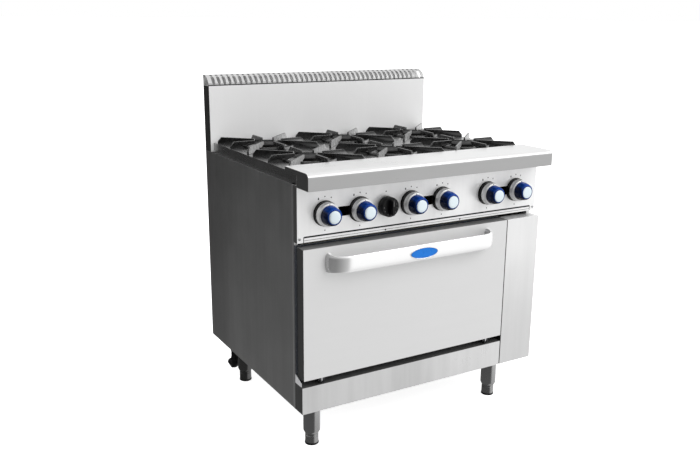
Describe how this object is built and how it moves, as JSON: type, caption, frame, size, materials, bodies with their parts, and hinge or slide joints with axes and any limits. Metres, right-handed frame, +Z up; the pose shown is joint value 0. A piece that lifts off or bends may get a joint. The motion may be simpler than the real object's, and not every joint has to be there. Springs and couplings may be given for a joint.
{
  "type": "commercial gas range",
  "caption": "Free-standing stainless gas range with open burners under cast grates, a drop-down oven door, rotary gas taps and a louvred flue riser.",
  "frame": {"origin": "on the floor, under the middle of the range's bounding box", "axes": "+Z up, +X to the right of someone facing the range, front towards -Y"},
  "size_m": [0.9, 0.797, 1.0941],
  "materials": {
    "casing_steel": "brushed satin",
    "rail_steel": "fine satin",
    "hob_steel": "satin",
    "chassis_steel": "mill finish",
    "duct_steel": "mill finish",
    "cast_iron": "matt black enamel",
    "burner_iron": "matt",
    "burner_alloy": "cast",
    "oven_enamel": "vitreous enamel",
    "insulation_wool": "mineral wool",
    "seal_fibre": "braided fibre",
    "handle_steel": "satin",
    "badge": "gloss with a bright rim",
    "knob_blue": "gloss",
    "knob_black": "satin",
    "brass": "machined",
    "pipe_steel": "zinc",
    "inlet_black": "matt",
    "leg_steel": "brushed",
    "foot_steel": "brushed",
    "wire_steel": "bright",
    "screw_steel": "bright",
    "pin_steel": "plain"
  },
  "bodies": {
    "range": {"chassis_frame": "chassis_steel", "side_panel_left": "casing_steel", "side_panel_right": "casing_steel", "back_panel": "chassis_steel", "base_pan": "chassis_steel", "control_panel": "casing_steel", "front_rail": "rail_steel", "kick_panel": "casing_steel", "service_panel": "casing_steel", "cooktop": "hob_steel", "burner_bases": "burner_alloy", "burner_caps": "burner_iron", "pilot_lights": "brass", "splashback": "casing_steel", "flue_cap": "casing_steel", "flue_duct": "duct_steel", "oven_liner": "oven_enamel", "oven_insulation": "insulation_wool", "oven_sole": "oven_enamel", "oven_burner": "burner_iron", "rack_guides": "wire_steel", "hinge_brackets": "pin_steel", "valve_bodies": "brass", "gas_pipework": "pipe_steel", "gas_inlet": "inlet_black", "leg_tubes": "leg_steel", "panel_screws": "screw_steel"},
    "door": {"door_skin": "casing_steel", "door_liner": "oven_enamel", "door_insulation": "insulation_wool", "door_seal": "seal_fibre", "door_handle": "handle_steel", "handle_screws": "screw_steel", "handle_badge": "badge", "hinge_arms": "pin_steel"},
    "crumb_tray": {"crumb_tray": "casing_steel"},
    "oven_rack": {"oven_rack": "wire_steel"},
    "thermostat_knob": {"thermostat_knob": "knob_black"},
    "valve_plug_1": {"valve_plug_1": "brass"},
    "knob_1": {"knob_1": "knob_blue"},
    "valve_plug_2": {"valve_plug_2": "brass"},
    "knob_2": {"knob_2": "knob_blue"},
    "valve_plug_3": {"valve_plug_3": "brass"},
    "knob_3": {"knob_3": "knob_blue"},
    "valve_plug_4": {"valve_plug_4": "brass"},
    "knob_4": {"knob_4": "knob_blue"},
    "valve_plug_5": {"valve_plug_5": "brass"},
    "knob_5": {"knob_5": "knob_blue"},
    "valve_plug_6": {"valve_plug_6": "brass"},
    "knob_6": {"knob_6": "knob_blue"},
    "grate_1": {"grate_1": "cast_iron"},
    "grate_2": {"grate_2": "cast_iron"},
    "grate_3": {"grate_3": "cast_iron"},
    "grate_4": {"grate_4": "cast_iron"},
    "grate_5": {"grate_5": "cast_iron"},
    "grate_6": {"grate_6": "cast_iron"},
    "foot_1": {"foot_1": "foot_steel"},
    "foot_2": {"foot_2": "foot_steel"},
    "foot_3": {"foot_3": "foot_steel"},
    "foot_4": {"foot_4": "foot_steel"}
  },
  "joints": [
    {"name": "door_hinge", "type": "hinge", "parent": "range", "child": "door", "pos_m": [-0.0665, -0.3385, 0.232], "axis": [1, 0, 0], "range_deg": [0, 90]},
    {"name": "rack_slide", "type": "slide", "parent": "range", "child": "oven_rack", "axis": [0, -1, 0], "range_m": [0, 0.28]},
    {"name": "crumb_tray_slide", "type": "slide", "parent": "range", "child": "crumb_tray", "axis": [0, -1, 0], "range_m": [0, 0.4]},
    {"name": "thermostat_turn", "type": "hinge", "parent": "range", "child": "thermostat_knob", "pos_m": [-0.15033, -0.3405, 0.742], "axis": [0, -1, 0], "range_deg": [0, 270]},
    {"name": "valve_1_turn", "type": "hinge", "parent": "range", "child": "valve_plug_1", "pos_m": [-0.35967, -0.2905, 0.742], "axis": [0, -1, 0], "range_deg": [0, 180]},
    {"name": "knob_1_push", "type": "slide", "parent": "valve_plug_1", "child": "knob_1", "axis": [0, 1, 0], "range_m": [0, 0.003], "stiffness_N_per_m": 1500, "springref_m": -0.002},
    {"name": "valve_2_turn", "type": "hinge", "parent": "range", "child": "valve_plug_2", "pos_m": [-0.24167, -0.2905, 0.742], "axis": [0, -1, 0], "range_deg": [0, 180]},
    {"name": "knob_2_push", "type": "slide", "parent": "valve_plug_2", "child": "knob_2", "axis": [0, 1, 0], "range_m": [0, 0.003], "stiffness_N_per_m": 1500, "springref_m": -0.002},
    {"name": "valve_3_turn", "type": "hinge", "parent": "range", "child": "valve_plug_3", "pos_m": [-0.059, -0.2905, 0.742], "axis": [0, -1, 0], "range_deg": [0, 180]},
    {"name": "knob_3_push", "type": "slide", "parent": "valve_plug_3", "child": "knob_3", "axis": [0, 1, 0], "range_m": [0, 0.003], "stiffness_N_per_m": 1500, "springref_m": -0.002},
    {"name": "valve_4_turn", "type": "hinge", "parent": "range", "child": "valve_plug_4", "pos_m": [0.059, -0.2905, 0.742], "axis": [0, -1, 0], "range_deg": [0, 180]},
    {"name": "knob_4_push", "type": "slide", "parent": "valve_plug_4", "child": "knob_4", "axis": [0, 1, 0], "range_m": [0, 0.003], "stiffness_N_per_m": 1500, "springref_m": -0.002},
    {"name": "valve_5_turn", "type": "hinge", "parent": "range", "child": "valve_plug_5", "pos_m": [0.24167, -0.2905, 0.742], "axis": [0, -1, 0], "range_deg": [0, 180]},
    {"name": "knob_5_push", "type": "slide", "parent": "valve_plug_5", "child": "knob_5", "axis": [0, 1, 0], "range_m": [0, 0.003], "stiffness_N_per_m": 1500, "springref_m": -0.002},
    {"name": "valve_6_turn", "type": "hinge", "parent": "range", "child": "valve_plug_6", "pos_m": [0.35967, -0.2905, 0.742], "axis": [0, -1, 0], "range_deg": [0, 180]},
    {"name": "knob_6_push", "type": "slide", "parent": "valve_plug_6", "child": "knob_6", "axis": [0, 1, 0], "range_m": [0, 0.003], "stiffness_N_per_m": 1500, "springref_m": -0.002},
    {"name": "grate_1_lift", "type": "slide", "parent": "range", "child": "grate_1", "axis": [0, 0, 1], "range_m": [0, 0.12]},
    {"name": "grate_2_lift", "type": "slide", "parent": "range", "child": "grate_2", "axis": [0, 0, 1], "range_m": [0, 0.12]},
    {"name": "grate_3_lift", "type": "slide", "parent": "range", "child": "grate_3", "axis": [0, 0, 1], "range_m": [0, 0.12]},
    {"name": "grate_4_lift", "type": "slide", "parent": "range", "child": "grate_4", "axis": [0, 0, 1], "range_m": [0, 0.12]},
    {"name": "grate_5_lift", "type": "slide", "parent": "range", "child": "grate_5", "axis": [0, 0, 1], "range_m": [0, 0.12]},
    {"name": "grate_6_lift", "type": "slide", "parent": "range", "child": "grate_6", "axis": [0, 0, 1], "range_m": [0, 0.12]},
    {"name": "foot_1_turn", "type": "hinge", "parent": "range", "child": "foot_1", "pos_m": [-0.39, -0.291, 0.02], "axis": [0, 0, 1], "continuous": true},
    {"name": "foot_2_turn", "type": "hinge", "parent": "range", "child": "foot_2", "pos_m": [-0.39, 0.2335, 0.02], "axis": [0, 0, 1], "continuous": true},
    {"name": "foot_3_turn", "type": "hinge", "parent": "range", "child": "foot_3", "pos_m": [0.315, -0.291, 0.02], "axis": [0, 0, 1], "continuous": true},
    {"name": "foot_4_turn", "type": "hinge", "parent": "range", "child": "foot_4", "pos_m": [0.315, 0.2335, 0.02], "axis": [0, 0, 1], "continuous": true}
  ],
  "couplings": [
    {"joint": "rack_slide", "follows": "door_hinge", "m_per_rad": 0.17}
  ]
}
